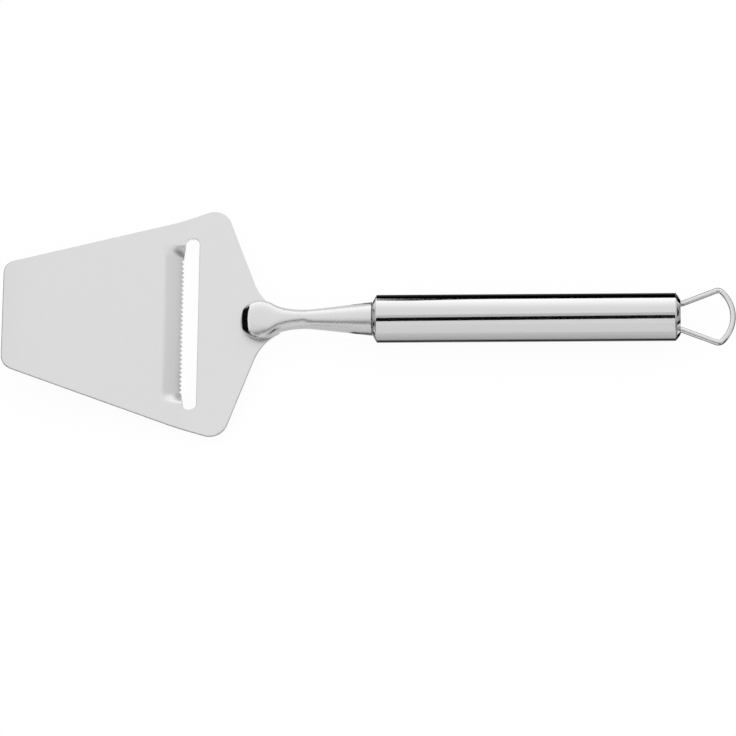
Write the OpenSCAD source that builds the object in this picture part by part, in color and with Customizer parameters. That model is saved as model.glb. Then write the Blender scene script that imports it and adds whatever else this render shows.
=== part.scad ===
// Cheese slicer: a satin sheet blade with a toothed slicing slot, a forged neck,
// a hollow round handle with bevelled caps, and a wire loop for hanging.
// X runs from the blade's tip to the loop, Y across the blade, Z up. Sizes in mm.
// The origin is under the middle of the part, on the table that it lies on.

/* [Blade] */
// Length of the whole slicer from the blade's tip to the loop
total_length = 240; // [200:1:280]
// Half width of the straight tip edge, before its corners are rounded
tip_half_width = 17.5; // [10:0.1:25]
// Distance from the tip to the widest point, where the side edges meet the back edges
shoulder_x = 71.6; // [60:0.1:85]
// Half width at the sharp shoulder, before it is rounded
shoulder_half_width = 40.2; // [30:0.1:50]
// Distance from the foot's widest section back to the corner where a back edge meets the tail
tail_corner_back = 1.6; // [0:0.1:5]
// Half width of the tail that lies under the neck's foot
tail_half_width = 2.3; // [1.5:0.1:5]
// Distance that the tail reaches behind the foot's widest section
tail_reach = 6; // [4:0.1:12]
// Radius of the two tip corners
tip_corner_r = 4.5; // [1:0.1:8]
// Radius of the two shoulder corners
shoulder_r = 6; // [2:0.1:12]
// Radius of the hollow curves that lead into the neck
tail_fillet_r = 17; // [8:0.5:25]
// Thickness of the sheet
sheet_t = 1.3; // [0.8:0.1:2.5]
// Distance from the tip to the cross bend in the sheet
bend_x = 56.8; // [45:0.1:65]
// Height of the sheet's top face at the bend
bend_z = 3.7; // [2:0.1:8]
// Length over which the bend is rounded, to each side
bend_run = 3; // [0.5:0.5:6]
// Angle at which the front of the blade rises towards its tip
tip_rise = 12.4; // [0:0.1:20]
// Angle at which the back of the blade rises towards the neck
tail_rise = 3.8; // [0:0.1:12]

/* [Slicing slot] */
// Distance from the tip to the slot's edge on the handle side
slot_back_x = 63.3; // [60:0.1:70]
// Distance from the tip to the slot's edge on the tip side, at the slot's ends
slot_front_x = 58.7; // [55:0.1:62]
// Length of the slot across the blade
slot_length = 59; // [40:0.5:66]
// Radius of the slot's corners
slot_corner_r = 1.9; // [0.5:0.1:2.2]
// Distance from the tip to the line where the lip starts to bend down
lip_start_x = 51; // [46:0.1:55]
// Distance by which the lip's edge is pressed below the line of the blade's front
lip_drop = 2.9; // [1:0.1:4]
// Distance by which the pressed lip's edge moves back from the slot's front edge
lip_draw = 0.7; // [0:0.1:1.5]
// Share of the sheet's thickness that is left at the ground cutting edge
edge_share = 0.36; // [0.2:0.01:1]
// Number of teeth along the cutting edge
tooth_count = 31; // [15:1:45]
// Distance from tooth to tooth
tooth_pitch = 1.5; // [1:0.05:3]
// Depth of the notches between the teeth
tooth_depth = 0.75; // [0.3:0.05:1.2]
// Length of the slanted wall at each end of the lip
shoulder_run = 4.6; // [2:0.1:8]

/* [Neck] */
// Distance from the tip to the nose of the foot
foot_nose_x = 77.4; // [70:0.1:82]
// Length of the foot from its nose to its widest section
foot_nose_l = 7.1; // [4:0.1:10]
// Length over which the foot draws in from its widest section to the waist
foot_taper_l = 12.7; // [9:0.1:18]
// Half width of the foot
foot_half_width = 6.5; // [4:0.1:9]
// Height of the foot's crown above the handle's axis
foot_crown = 2.4; // [1.5:0.1:4]
// Slope of the steep wall at the nose, as rise over run
nose_slope = 5.2; // [2:0.1:8]
// Slope of the bevel over the nose's wall, as rise over run
brow_slope = 0.75; // [0.5:0.05:1.5]
// Distance from the nose to the line where the bevel reaches the crown
brow_l = 2.6; // [1.5:0.1:4]
// Radius of the nose's lower edge, seen from above
nose_round_r = 14.3; // [8:0.1:30]
// Radius of the neck at its narrow waist
waist_r = 3.2; // [2.5:0.1:5]
// Length of the waist at its full narrowness
waist_l = 2.8; // [0.5:0.1:8]
// Radius of the neck where it meets the front cap
flare_r = 5.5; // [4:0.1:7]
// Diameter of the tang inside the handle
tang_d = 6; // [4:0.5:9]
// Length of the tang behind the neck's back end
tang_length = 26; // [10:1:40]

/* [Handle] */
// Outside diameter of the round handle
handle_d = 15.7; // [12:0.1:22]
// Wall of the handle tube
tube_wall = 1; // [0.6:0.1:2]
// Distance from the tip to the front end of the tube
tube_start_x = 122.5; // [112:0.5:132]
// Length of the loop behind the rear cap's flat face
loop_l = 18; // [12:0.5:30]
// Length of the bevel on the front cap
front_bevel_l = 1.2; // [0.5:0.1:3]
// Radius of the front cap's flat face
front_face_r = 5.6; // [5:0.1:7]
// Length of the bevel on the rear cap
rear_bevel_l = 1.5; // [0.5:0.1:3]
// Radius of the rear cap's flat face
rear_face_r = 5.75; // [5:0.05:7]
// Length of the plug part of each cap inside the tube
plug_l = 5; // [2:0.5:10]

/* [Hanging loop] */
// Diameter of the wire
wire_d = 1.9; // [1.5:0.1:3]
// Distance from the tube's inner wall to the middle of each wire end
wire_inset = 2.35; // [2.1:0.05:4]
// Radius of the small bend where each arm leaves the rear cap
arm_bend_r = 3; // [1.5:0.1:5]
// Radius of the loop's corners
corner_r = 2; // [1.5:0.1:4]
// Distance from the loop's outer end to the centres of its corners
corner_back = 5.8; // [4:0.1:8]
// Distance by which the corner centres lie outside the wire ends
corner_spread = 2.4; // [1:0.1:4]
// Length of each wire end behind the rear cap's inner face
wire_tail = 1.2; // [0.5:0.1:4]

/* [Fits and welds] */
// Radial clearance between a cap's plug and the tube
plug_clearance = 0.05; // [0:0.01:0.2]
// Radial clearance around the tang and the wire ends
bore_clearance = 0.1; // [0:0.01:0.3]
// Gap between the neck and the front cap, seen as a thin line
seam_gap = 0.3; // [0:0.05:0.5]
// Gap between the end of the blade's tail and the end of its seat in the neck
tail_gap = 0.3; // [0:0.05:0.5]
// Height of the welded joint between the foot and the blade
weld_t = 0.25; // [0.1:0.05:0.5]
// Distance by which the welded joint lies inside the foot's edge
weld_inset = 0.8; // [0.3:0.1:2]
// Leg of the weld ring around the tang
tang_weld_leg = 1.5; // [0.5:0.1:2.5]
// Leg of the weld ring around each wire end
wire_weld_leg = 1; // [0.5:0.1:1.4]

/* [Hidden] */
$fn = 96;
axis_z = handle_d / 2;
tip_slope = tan(tip_rise);
tail_slope = tan(tail_rise);
tube_inner_r = handle_d / 2 - tube_wall;
plug_r = tube_inner_r - plug_clearance;
wire_offset = tube_inner_r - wire_inset;
corner_offset = wire_offset + corner_spread;
tang_bore_d = tang_d + 2 * bore_clearance;
wire_bore_d = wire_d + 2 * bore_clearance;
front_face_x = tube_start_x - front_bevel_l;
rear_face_x = total_length - loop_l;
tube_end_x = rear_face_x - rear_bevel_l;
foot_wide_x = foot_nose_x + foot_nose_l;
waist_start_x = foot_wide_x + foot_taper_l;
waist_end_x = waist_start_x + waist_l;
neck_end_x = front_face_x - seam_gap;
tail_corner_x = foot_wide_x + tail_corner_back;
tail_end_x = foot_wide_x + tail_reach;
seat_end_x = tail_end_x + tail_gap;
tang_end_x = neck_end_x + tang_length;
slot_corner_y = slot_length / 2 - slot_corner_r;
lip_half = slot_corner_y - shoulder_run;
sheet_overhang = tip_corner_r;
cut_room = shoulder_half_width;
section_points = 48;
joint_excess = 0.03;

// Loop path in the handle's middle plane, all on the wire's centre line
loop_end_x = total_length - wire_d / 2;
corner_x = total_length - corner_back;
arm_start_x = rear_face_x;
reach_x = corner_x - arm_start_x;
bend_reach = [reach_x, corner_spread - arm_bend_r];
bend_dist = norm(bend_reach);
arm_angle = atan2(bend_reach[1], bend_reach[0]) + asin((arm_bend_r + corner_r) / bend_dist);
bow_limit = loop_end_x - corner_r;
bow_x = (pow(bow_limit, 2) - pow(corner_x, 2) - pow(corner_offset, 2)) / (2 * (bow_limit - corner_x));
bow_r = loop_end_x - bow_x;
bow_angle = atan2(corner_offset, corner_x - bow_x);

// Rounded polygon: every corner is [x, y, radius]
function unit(v) = v / norm(v);
function turn(a) = a > 180 ? a - 360 : a < -180 ? a + 360 : a;
function arc_points(c, r, a0, da, n) = [for (i = [0:n]) c + r * [cos(a0 + da * i / n), sin(a0 + da * i / n)]];
function corner_points(p, q, s, r, n) =
  let (
    u = unit(p - q),
    v = unit(s - q),
    half = acos(u * v) / 2,
    c = q + unit(u + v) * r / sin(half),
    t0 = q + u * r / tan(half) - c,
    t1 = q + v * r / tan(half) - c,
    a0 = atan2(t0[1], t0[0]),
    a1 = atan2(t1[1], t1[0])
  ) arc_points(c, r, a0, turn(a1 - a0), n);
function flat(v) = [v[0], v[1]];
function rounded(c, n) = [
  for (i = [0:len(c) - 1])
    let (p = c[(i + len(c) - 1) % len(c)], q = c[i], s = c[(i + 1) % len(c)])
    each q[2] == 0 ? [flat(q)] : corner_points(flat(p), flat(q), flat(s), q[2], n)
];

// Height of the sheet's top face, with the cross bend rounded
function sheet_z(x) =
  x < bend_x - bend_run ? bend_z + (bend_x - x) * tip_slope
  : x > bend_x + bend_run ? bend_z + (x - bend_x) * tail_slope
  : bend_z + (bend_x - x) * tip_slope
    + (tail_slope + tip_slope) * pow(x - bend_x + bend_run, 2) / (4 * bend_run);

// Share of the lip's full depth at a distance y from the middle
function smooth(t) = t <= 0 ? 0 : t >= 1 ? 1 : t * t * (3 - 2 * t);
function lip_share(y) = smooth((slot_corner_y - abs(y)) / shoulder_run);
function lip_edge_x(y) = slot_front_x - lip_draw * lip_share(y);
function lip_fall(u) = u < 0.2 ? u * u / 0.36 : (u - 0.1) / 0.9;
function lip_top(x, u, y) =
  let (s = lip_share(y), low = bend_z + (bend_x - x) * tip_slope - lip_drop * lip_fall(u))
  (1 - s) * sheet_z(x) + s * low;
function lip_left(u, y) = 1 - lip_share(y) * (1 - edge_share) * max(0, (u - 0.55) / 0.45);

// One cross-section of the sheet at a distance y from the middle, top face first
lip_steps = 8;
back_stations = [for (k = [0.07, 0.16, 0.58, 1]) slot_front_x + k * (tail_end_x - slot_front_x)];
front_stations = [0, lip_start_x / 3, lip_start_x * 2 / 3];
function lip_station(i, y) =
  let (u = i / lip_steps, x = lip_start_x + u * (lip_edge_x(y) - lip_start_x))
  [x, lip_top(x, u, y), lip_left(u, y)];
function section(y) = concat(
  [for (x = front_stations) [x, sheet_z(x), 1]],
  [for (i = [0:lip_steps]) lip_station(i, y)],
  [for (x = back_stations) [x, sheet_z(x), 1]]
);
function ring(y) =
  let (s = section(y), n = len(s))
  concat(
    [for (i = [0:n - 1]) [s[i][0], y, s[i][1]]],
    [for (i = [n - 1:-1:0]) [s[i][0], y, s[i][1] - sheet_t * s[i][2]]]
  );

// Body between closed rings of equal length: side walls plus a cap on each end
function ring_walls(m, n) = [
  for (k = [0:m - 2])
    for (i = [0:n - 1])
      let (j = (i + 1) % n, a = k * n + i, b = k * n + j, c = a + n, d = b + n)
      each [[a, b, d], [a, d, c]]
];
function ring_caps(m, n) = [[for (i = [n - 1:-1:0]) i], [for (i = [0:n - 1]) (m - 1) * n + i]];
module loft(rings) {
  m = len(rings);
  n = len(rings[0]);
  polyhedron(points = [for (r = rings) each r], faces = concat(ring_walls(m, n), ring_caps(m, n)));
}

// Moves the drawing from the tip to the middle of the part
module place() {
  translate([-total_length / 2, 0, 0]) children();
}

// Round solid along X, drawn from its profile [distance from the tip, radius]
module turned(profile) {
  translate([0, 0, axis_z]) rotate([0, 90, 0]) rotate_extrude() polygon([for (p = profile) [p[1], p[0]]]);
}

shoulder_steps = 8;
function shoulder_y(i) = lip_half + (slot_corner_y - lip_half) * i / shoulder_steps;
sheet_half = shoulder_half_width + sheet_overhang;
sheet_rows = concat(
  [-sheet_half],
  [for (i = [shoulder_steps:-1:0]) -shoulder_y(i)],
  [for (i = [0:shoulder_steps]) shoulder_y(i)],
  [sheet_half]
);

// Plan of the blade
blade_corners = [
  [0, tip_half_width, tip_corner_r],
  [0, -tip_half_width, tip_corner_r],
  [shoulder_x, -shoulder_half_width, shoulder_r],
  [tail_corner_x, -tail_half_width, tail_fillet_r],
  [tail_corner_x + 2 * tail_fillet_r, -tail_half_width, 0],
  [tail_corner_x + 2 * tail_fillet_r, tail_half_width, 0],
  [tail_corner_x, tail_half_width, tail_fillet_r],
  [shoulder_x, shoulder_half_width, shoulder_r]
];

// Plan of the slot, with the toothed edge on its tip side
function tooth_points() = [
  for (i = [0:tooth_count - 1])
    let (y = (i - tooth_count / 2) * tooth_pitch, x = slot_front_x - lip_draw)
    each [[x, y], [x - tooth_depth, y + tooth_pitch / 2]]
];
function slot_end(s) = arc_points(
  [slot_back_x - slot_corner_r, s * slot_corner_y], slot_corner_r, 0, s * 90, 10
);
function slot_front_end(s) = arc_points(
  [slot_front_x + slot_corner_r, s * slot_corner_y], slot_corner_r, s * 90, s * 90, 10
);
slot_plan = concat(
  slot_end(1),
  slot_front_end(1),
  [for (i = [shoulder_steps:-1:0]) [lip_edge_x(shoulder_y(i)), shoulder_y(i)]],
  [for (p = tooth_points()) [p[0], -p[1]]],
  [[slot_front_x - lip_draw, -tooth_count * tooth_pitch / 2]],
  [for (i = [0:shoulder_steps]) [lip_edge_x(shoulder_y(i)), -shoulder_y(i)]],
  [for (i = [10:-1:0]) slot_front_end(-1)[i]],
  [for (i = [10:-1:0]) slot_end(-1)[i]]
);

module slicing_blade() {
  color("#DADADA")
  place()
  difference() {
    intersection() {
      loft([for (y = sheet_rows) ring(-y)]);
      translate([0, 0, -cut_room]) linear_extrude(2 * cut_room) polygon(rounded(blade_corners, 12));
    }
    translate([0, 0, -cut_room]) linear_extrude(2 * cut_room) polygon(slot_plan);
  }
}

// Neck sections: distance from the tip, half width, crown height. The foot's taper is given
// as shares of its length, of the width that it loses and of the crown that it gains.
foot_taper = [
  [0.134, 0.924, 0.0625], [0.268, 0.727, 0.25], [0.402, 0.439, 0.5],
  [0.567, 0.227, 0.7125], [0.787, 0.076, 0.9]
];
flare_taper = [[0.214, 0.183], [0.614, 0.596]];
neck_table = concat(
  [[foot_wide_x, foot_half_width, foot_crown]],
  [for (k = foot_taper) [
    foot_wide_x + k[0] * foot_taper_l,
    waist_r + k[1] * (foot_half_width - waist_r),
    foot_crown + k[2] * (waist_r - foot_crown)
  ]],
  [[waist_start_x, waist_r, waist_r], [waist_end_x, waist_r, waist_r]],
  [for (k = flare_taper)
    let (x = waist_end_x + k[0] * (neck_end_x - waist_end_x), r = waist_r + k[1] * (flare_r - waist_r))
    [x, r, r]],
  [[neck_end_x, flare_r, flare_r]]
);
function row_at(x) = len([for (r = neck_table) if (r[0] <= x) 1]) - 1;
function slope_at(k, c) =
  let (a = max(0, k - 1), b = min(len(neck_table) - 1, k + 1))
  (neck_table[b][c] - neck_table[a][c]) / (neck_table[b][0] - neck_table[a][0]);
function neck_value(x, c) =
  let (
    k = min(max(row_at(x), 0), len(neck_table) - 2),
    p = neck_table[k],
    q = neck_table[k + 1],
    h = q[0] - p[0],
    t = (x - p[0]) / h
  )
  p[c] * (1 + 2 * t) * pow(1 - t, 2) + q[c] * t * t * (3 - 2 * t)
  + h * slope_at(k, c) * t * pow(1 - t, 2) - h * slope_at(k + 1, c) * t * t * (1 - t);
function foot_width(x) =
  x < foot_wide_x
    ? foot_half_width * sqrt(1 - pow((foot_wide_x - x) / (foot_wide_x - foot_nose_x), 2))
    : neck_value(x, 1);
function crown(x) = x < foot_wide_x ? foot_crown : neck_value(x, 2);
function roundness(x) = smooth((x - foot_wide_x) / foot_taper_l);
function seat_z(x) = sheet_z(x) + weld_t;
function power(v, e) = sign(v) * pow(abs(v), e);
function neck_point(x, a) =
  let (
    wide = foot_width(x),
    low_e = 0.5 + 0.5 * roundness(x),
    top_e = 0.85 + 0.15 * roundness(x),
    y = wide * power(cos(a), sin(a) < 0 ? low_e : top_e),
    low_r = max(waist_r, wide * roundness(x)),
    up = sin(a) < 0 ? low_r * power(sin(a), low_e) : crown(x) * power(sin(a), top_e),
    run = x - foot_nose_x - y * y / (2 * nose_round_r),
    wall_z = seat_z(x) + nose_slope * run + 0.02,
    brow_z = axis_z + foot_crown - brow_slope * (brow_l - run),
    floor_z = x < seat_end_x + 0.01 ? seat_z(x) : -cut_room
  ) [x, y, max(min(axis_z + up, wall_z, brow_z), floor_z)];
seat_step_x = seat_end_x + tail_gap / 2;
function back_x(u) = seat_step_x + (neck_end_x - seat_step_x) * (0.6 * u + 0.4 * u * u);
nose_shares = concat([0.007, 0.021, 0.042, 0.07], [for (k = [0.113:0.05:0.97]) k], [1]);
neck_stations = concat(
  [for (k = nose_shares) foot_nose_x + k * foot_nose_l],
  [for (k = [1:9]) foot_wide_x + (seat_end_x - foot_wide_x) * k / 9],
  [for (k = [0:15]) back_x(k / 15)]
);

module neck() {
  color("#CFCFCF")
  place()
  union() {
    loft([
      for (x = neck_stations)
        [for (i = [0:section_points - 1]) neck_point(x, -360 * (i + 0.5) / section_points)]
    ]);
    turned([[neck_end_x - tang_d / 3, 0], [neck_end_x - tang_d / 3, tang_d / 2],
            [tang_end_x - tang_d / 12, tang_d / 2], [tang_end_x, tang_d / 2 - tang_d / 12], [tang_end_x, 0]]);
  }
}

// Welded joint under the foot, a thin pad that follows the foot's outline
function weld_width(x) = foot_width(x) * 0.86 - weld_inset;
weld_front_x = foot_nose_x + 2 * weld_inset;
weld_back_x = tail_end_x - weld_inset;
weld_xs = [for (i = [0:12]) weld_front_x + (weld_back_x - weld_front_x) * i / 12];
module foot_weld() {
  color("#B9B9B9")
  place()
  intersection() {
    translate([0, cut_room, 0]) rotate([90, 0, 0]) linear_extrude(2 * cut_room)
      polygon([
        [foot_nose_x, sheet_z(foot_nose_x)],
        [tail_end_x, sheet_z(tail_end_x)],
        [tail_end_x, seat_z(tail_end_x)],
        [foot_nose_x, seat_z(foot_nose_x)]
      ]);
    linear_extrude(cut_room) polygon(concat(
      [for (x = weld_xs) [x, -weld_width(x)]],
      [for (i = [12:-1:0]) [weld_xs[i], weld_width(weld_xs[i])]]
    ));
  }
}

module front_cap() {
  color("#D4D4D4")
  place()
  difference() {
    turned([
      [front_face_x, 0], [front_face_x, front_face_r], [tube_start_x, handle_d / 2],
      [tube_start_x, plug_r], [tube_start_x + plug_l, plug_r], [tube_start_x + plug_l, 0]
    ]);
    translate([front_face_x - 1, 0, axis_z]) rotate([0, 90, 0])
      cylinder(h = plug_l + front_bevel_l + 2, d = tang_bore_d);
  }
}

// Weld ring between the tang and the front cap's inner face
module tang_weld() {
  color("#B9B9B9")
  place()
  turned([
    [tube_start_x + plug_l, tang_d / 2], [tube_start_x + plug_l, tang_d / 2 + tang_weld_leg],
    [tube_start_x + plug_l + tang_weld_leg, tang_d / 2]
  ]);
}

module handle_tube() {
  color("#E2E2E2")
  place()
  difference() {
    translate([tube_start_x, 0, axis_z]) rotate([0, 90, 0])
      cylinder(h = tube_end_x - tube_start_x, d = handle_d);
    translate([tube_start_x - 1, 0, axis_z]) rotate([0, 90, 0])
      cylinder(h = tube_end_x - tube_start_x + 2, r = tube_inner_r);
  }
}

module rear_cap() {
  color("#D4D4D4")
  place()
  difference() {
    turned([
      [tube_end_x - plug_l, 0], [tube_end_x - plug_l, plug_r], [tube_end_x, plug_r],
      [tube_end_x, handle_d / 2], [rear_face_x, rear_face_r], [rear_face_x, 0]
    ]);
    for (s = [-1, 1])
      translate([tube_end_x - plug_l - 1, s * wire_offset, axis_z]) rotate([0, 90, 0])
        cylinder(h = plug_l + rear_bevel_l + 2, d = wire_bore_d);
  }
}

// A bend in the wire: centre, radius, start angle and sweep in the loop's plane
module wire_bend(c, r, a0, sweep) {
  translate([c[0], c[1], axis_z]) rotate([0, 0, a0]) rotate_extrude(angle = sweep)
    translate([r, 0]) circle(d = wire_d, $fn = 48);
}
module wire_run(p, q) {
  translate([p[0], p[1], axis_z]) rotate([0, 0, atan2(q[1] - p[1], q[0] - p[0])]) rotate([0, 90, 0])
    cylinder(h = norm(q - p), d = wire_d, $fn = 48);
}
arm_from = [arm_start_x, wire_offset] + arm_bend_r * [sin(arm_angle), 1 - cos(arm_angle)];
arm_to = [corner_x, corner_offset] + corner_r * [-sin(arm_angle), cos(arm_angle)];

// Ball a hair thicker than the wire that joins two stretches of it
module wire_joint(p) {
  translate([p[0], p[1], axis_z]) sphere(d = wire_d + joint_excess, $fn = 48);
}
bow_from = [corner_x, corner_offset] + corner_r * [cos(bow_angle), sin(bow_angle)];

module hanging_loop_half() {
  wire_run([tube_end_x - plug_l - wire_tail, wire_offset], [arm_start_x, wire_offset]);
  wire_joint([arm_start_x, wire_offset]);
  wire_joint(arm_from);
  wire_joint(arm_to);
  wire_joint(bow_from);
  wire_bend([arm_start_x, wire_offset + arm_bend_r], arm_bend_r, 270, arm_angle);
  wire_run(arm_from, arm_to);
  wire_bend([corner_x, corner_offset], corner_r, bow_angle, 90 + arm_angle - bow_angle);
}

module hanging_loop() {
  color("#DCDCDC")
  place() {
    hanging_loop_half();
    mirror([0, 1, 0]) hanging_loop_half();
    wire_bend([bow_x, 0], bow_r, -bow_angle, 2 * bow_angle);
  }
}

// Weld ring around one wire end, inside the handle
module loop_weld(s) {
  color("#B9B9B9")
  place()
  translate([tube_end_x - plug_l - wire_weld_leg, s * wire_offset, axis_z]) rotate([0, 90, 0])
    difference() {
      cylinder(h = wire_weld_leg, r1 = wire_d / 2 + 0.2, r2 = wire_d / 2 + wire_weld_leg);
      translate([0, 0, -1]) cylinder(h = wire_weld_leg + 2, d = wire_d);
    }
}
module loop_weld_left() {
  loop_weld(1);
}
module loop_weld_right() {
  loop_weld(-1);
}

slicing_blade();
neck();
foot_weld();
front_cap();
tang_weld();
handle_tube();
rear_cap();
hanging_loop();
loop_weld_left();
loop_weld_right();
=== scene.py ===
"""Looks of a steel cheese slicer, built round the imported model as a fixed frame.

The file is laid out as an add-on and run as a script: one operator makes each piece,
one makes the stage, and a panel in the sidebar lists them. Sizes are in metres, and in
millimetres in the tables of the stage.
"""

import math

import bpy
import numpy as np
from mathutils import Matrix, Vector


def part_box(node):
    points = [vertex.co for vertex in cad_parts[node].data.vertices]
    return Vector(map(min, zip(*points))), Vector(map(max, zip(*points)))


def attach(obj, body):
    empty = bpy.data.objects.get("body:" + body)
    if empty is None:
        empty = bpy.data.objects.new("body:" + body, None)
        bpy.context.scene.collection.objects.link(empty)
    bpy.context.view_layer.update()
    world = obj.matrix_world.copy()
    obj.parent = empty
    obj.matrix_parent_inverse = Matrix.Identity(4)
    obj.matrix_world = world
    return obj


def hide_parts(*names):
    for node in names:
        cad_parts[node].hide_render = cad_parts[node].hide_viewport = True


bl_info = {
    "name": "Cheese slicer",
    "version": (1, 0, 0),
    "blender": (4, 5, 0),
    "location": "View3D > Sidebar > Slicer",
    "description": "Blade, neck, round handle, caps and hanging loop of a steel cheese slicer",
    "category": "Object",
}

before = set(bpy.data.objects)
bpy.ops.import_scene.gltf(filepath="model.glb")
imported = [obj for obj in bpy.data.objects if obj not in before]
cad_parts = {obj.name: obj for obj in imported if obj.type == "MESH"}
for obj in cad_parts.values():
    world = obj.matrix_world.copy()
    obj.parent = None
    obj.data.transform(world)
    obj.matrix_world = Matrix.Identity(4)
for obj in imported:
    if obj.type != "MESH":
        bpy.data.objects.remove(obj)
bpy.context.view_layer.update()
MM = 0.001
TIP_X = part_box("slicing_blade")[0].x
TUBE_LOW, TUBE_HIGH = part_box("handle_tube")
AXIS_Z = (TUBE_LOW.z + TUBE_HIGH.z) / 2
PHOTO_PIXELS = 736  # side of the square picture
SENSOR = 36.0  # width of the camera's sensor in millimetres
WHITE = (1, 1, 1, 1)


# Meshes from grids of points


def closed_mesh(name, points, ring=False, marks=None):
    """Closed mesh from points[u, v], whose rows run round the piece and join on themselves.
    With ring the last row joins the first, and otherwise each end row is closed by a fan of
    triangles to its middle. The faces are turned round if the volume that they enclose, the
    sum of corner triple products over six, comes out negative."""
    rows, columns = points.shape[:2]
    a, b = np.meshgrid(np.arange(rows if ring else rows - 1), np.arange(columns), indexing="ij")
    c, d = (a + 1) % rows, (b + 1) % columns
    quads = np.stack([a * columns + b, c * columns + b, c * columns + d, a * columns + d], -1).reshape(-1, 4)
    verts = points.reshape(-1, 3)
    fans = np.empty((0, 3), int)
    if not ring:
        verts = np.concatenate([verts, points[:1].mean(1), points[-1:].mean(1)])
        k = np.arange(columns)
        n, start, end = (k + 1) % columns, rows * columns, (rows - 1) * columns
        fans = np.concatenate(
            [np.stack([k, n, k * 0 + start], -1), np.stack([end + n, end + k, k * 0 + start + 1], -1)]
        )
    tris = np.concatenate([quads[:, [0, 1, 2]], quads[:, [0, 2, 3]], fans])
    p, q, r = (verts[tris[:, i]] for i in range(3))
    if np.einsum("ij,ij->i", p, np.cross(q, r)).sum() < 0:
        quads, fans = quads[:, ::-1], fans[:, ::-1]
    mesh = bpy.data.meshes.new(name)
    mesh.from_pydata(verts.tolist(), [], quads.tolist() + fans.tolist())
    mesh.polygons.foreach_set("use_smooth", np.ones(len(mesh.polygons), bool))
    for mark, values in (marks or {}).items():
        layer = mesh.attributes.new(mark, "FLOAT", "POINT")
        full = np.zeros(len(verts))
        full[: values.size] = values.ravel()
        layer.data.foreach_set("value", full)
    mesh.update()
    return mesh


def piece(name, mesh, material, node):
    """Object at the origin that stands for a node of the frame and rides on its body."""
    mesh.materials.append(material)
    obj = bpy.data.objects.new(name, mesh)
    bpy.context.scene.collection.objects.link(obj)
    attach(obj, "root")
    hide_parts(node)
    return obj


def rounded_line(corners, guard=0.0, steps=6):
    """Open line through corners [x, y, radius]. Each inner corner with a radius becomes an arc whose
    centre lies on the corner's bisector, radius / sin(half angle) away. A guard point this far
    before and after each arc keeps the shading of the flats beside it plain."""
    corners = np.asarray(corners, float)
    line = [corners[0, :2]]
    for before, here, after in zip(corners[:-2], corners[1:-1], corners[2:]):
        if here[2] == 0:
            line.append(here[:2])
            continue
        u = (before[:2] - here[:2]) / np.linalg.norm(before[:2] - here[:2])
        v = (after[:2] - here[:2]) / np.linalg.norm(after[:2] - here[:2])
        half = math.acos(np.clip(u @ v, -1, 1)) / 2
        run = here[2] / math.tan(half)
        centre = here[:2] + (u + v) / np.linalg.norm(u + v) * here[2] / math.sin(half)
        first, last = here[:2] + u * run - centre, here[:2] + v * run - centre
        sweep = math.atan2(first[0] * last[1] - first[1] * last[0], first @ last)
        t = np.linspace(0, sweep, steps + 1)[:, None]
        turned = np.cos(t) * first + np.sin(t) * np.array([-first[1], first[0]])
        if guard:
            line.append(here[:2] + u * (run + guard))
        line.extend(centre + turned)
        if guard:
            line.append(here[:2] + v * (run + guard))
    line.append(corners[-1, :2])
    return np.array(line)


def spread(line, share):
    """Points on an open line at these shares of its length."""
    along = np.concatenate([[0], np.cumsum(np.linalg.norm(np.diff(line, axis=0), axis=1))])
    return np.stack([np.interp(share * along[-1], along, line[:, i]) for i in (0, 1)], -1)


def turned_mesh(name, profile, sides=192):
    """Surface of revolution round the handle's axis: the profile [distance from the tip, radius]
    is carried round, so a point at angle a is (x, r cos a, axis + r sin a)."""
    a = np.linspace(0, 2 * np.pi, sides, endpoint=False)
    x, r = profile[:, :1], profile[:, 1:]
    flat = np.zeros_like(a)
    points = np.stack([TIP_X + x + flat, r * np.cos(a), AXIS_Z + r * np.sin(a)], -1)
    ring = bool(np.allclose(profile[0], profile[-1]))
    return closed_mesh(name, points[:-1] if ring else points, ring)


def ease(t):
    """Goes from 0 to 1 as t does, flat at both ends: three t squared less two t cubed."""
    t = np.clip(t, 0, 1)
    return t * t * (3 - 2 * t)


# Sizes that a user would change


def length(name, text, value):
    """A length in millimetres as a property in metres."""
    return bpy.props.FloatProperty(
        name=name,
        description=text,
        default=value * MM,
        unit="LENGTH",
        subtype="DISTANCE",
        precision=5,
    )


def share(name, text, value):
    """A plain number between 0 and 1."""
    return bpy.props.FloatProperty(name=name, description=text, default=value, min=0, max=1, subtype="FACTOR")


def ratio(name, text, value):
    """A plain number of any size."""
    return bpy.props.FloatProperty(name=name, description=text, default=value)


def angle(name, text, value):
    """An angle in degrees as a property in radians."""
    return bpy.props.FloatProperty(
        name=name, description=text, default=math.radians(value), unit="ROTATION", subtype="ANGLE"
    )


def tone(name, text, value):
    """A colour as an sRGB hex value."""
    return bpy.props.StringProperty(name=name, description=text, default=value)


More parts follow.
